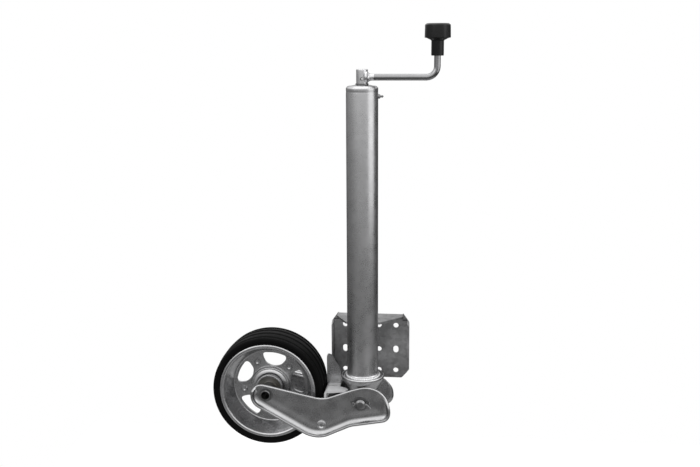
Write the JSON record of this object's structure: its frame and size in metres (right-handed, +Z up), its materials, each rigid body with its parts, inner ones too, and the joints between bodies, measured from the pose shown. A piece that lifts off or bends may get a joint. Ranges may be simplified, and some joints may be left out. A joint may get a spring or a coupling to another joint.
{
  "type": "trailer jockey wheel",
  "caption": "Trailer jockey wheel: screw jack in a galvanised tube with a cranked handle, bolt-on plate and a folding fork with a solid-tyred steel wheel.",
  "frame": {"origin": "centre of the outer bolt pattern, on the back face of the mounting plate", "axes": "+Z up along the tube, +Y out of the back of the mounting plate, -X towards the wheel as stowed"},
  "size_m": [0.4553, 0.1305, 0.8107],
  "materials": {
    "galvanised_tube": "hot-dip galvanised, satin",
    "galvanised_plate": "hot-dip galvanised, mottled",
    "zinc_plated_fork": "zinc plated, satin",
    "zinc_plated_pins": "zinc plated, bright",
    "zinc_plated_crank": "zinc plated, satin",
    "bright_steel": "drawn or turned, greased",
    "cast_nut": "turned cast iron",
    "slide_plastic": "moulded, matt",
    "knob_plastic": "moulded, satin black",
    "rim_zinc": "pressed and galvanised, satin",
    "tyre_rubber": "solid rubber, matt black"
  },
  "bodies": {
    "outer": {"outer_tube": "galvanised_tube", "guide_collar": "galvanised_tube", "top_cap": "galvanised_tube", "mounting_plate": "galvanised_plate", "plate_ribs": "galvanised_plate", "grease_nipple": "zinc_plated_pins", "bearing_upper_race": "bright_steel"},
    "crank": {"lifting_screw": "bright_steel", "bearing_lower_race": "bright_steel", "bearing_balls": "bright_steel", "crank_washer": "zinc_plated_pins", "crank_boss": "zinc_plated_crank", "roll_pin": "zinc_plated_pins", "crank_arm": "zinc_plated_crank", "knob_clip": "zinc_plated_pins"},
    "knob": {"crank_knob": "knob_plastic"},
    "carriage": {"guide_ring": "slide_plastic"},
    "strut": {"inner_tube": "bright_steel", "screw_nut": "cast_nut", "ring_stop": "zinc_plated_pins", "pivot_tube": "bright_steel", "pivot_bushes": "slide_plastic"},
    "fork": {"fork_plate_front": "zinc_plated_fork", "fork_plate_rear": "zinc_plated_fork", "stop_bar": "zinc_plated_fork", "cam_plate": "zinc_plated_fork", "cam_bridge": "zinc_plated_fork", "spacer_tube": "zinc_plated_fork", "spacer_rivet": "zinc_plated_fork", "pivot_pin": "zinc_plated_pins", "pivot_washer": "zinc_plated_pins", "pivot_cotter": "zinc_plated_pins", "axle_tube": "zinc_plated_pins", "axle_clips": "zinc_plated_pins", "axle_sleeves": "zinc_plated_pins", "bearing_inner_rings": "bright_steel"},
    "wheel": {"bearing_outer_rings": "bright_steel", "hub_tube": "rim_zinc", "rim_half_front": "rim_zinc", "rim_half_rear": "rim_zinc", "rim_rivets": "rim_zinc", "tyre": "tyre_rubber"}
  },
  "joints": [
    {"name": "crank_turn", "type": "hinge", "parent": "outer", "child": "crank", "pos_m": [-0.01, -0.0665, 0.525], "axis": [0, 0, 1], "range_deg": [0, 18000]},
    {"name": "knob_spin", "type": "hinge", "parent": "crank", "child": "knob", "pos_m": [0.1279, -0.0665, 0.605], "axis": [0, 0, 1], "continuous": true},
    {"name": "tube_slide", "type": "slide", "parent": "outer", "child": "carriage", "axis": [0, 0, -1], "range_m": [0, 0.2]},
    {"name": "swivel", "type": "hinge", "parent": "carriage", "child": "strut", "pos_m": [-0.01, -0.0665, -0.075], "axis": [0, 0, 1], "range_deg": [0, 180]},
    {"name": "fork_fold", "type": "hinge", "parent": "strut", "child": "fork", "pos_m": [-0.01, -0.0665, -0.0795], "axis": [0, -1, 0], "range_deg": [0, 105]},
    {"name": "wheel_spin", "type": "hinge", "parent": "fork", "child": "wheel", "pos_m": [-0.1934, -0.0665, -0.0637], "axis": [0, 1, 0], "continuous": true}
  ],
  "couplings": [
    {"joint": "tube_slide", "follows": "crank_turn", "m_per_rad": 0.00063662},
    {"joint": "fork_fold", "follows": "crank_turn", "ratio": 0.0058333}
  ]
}
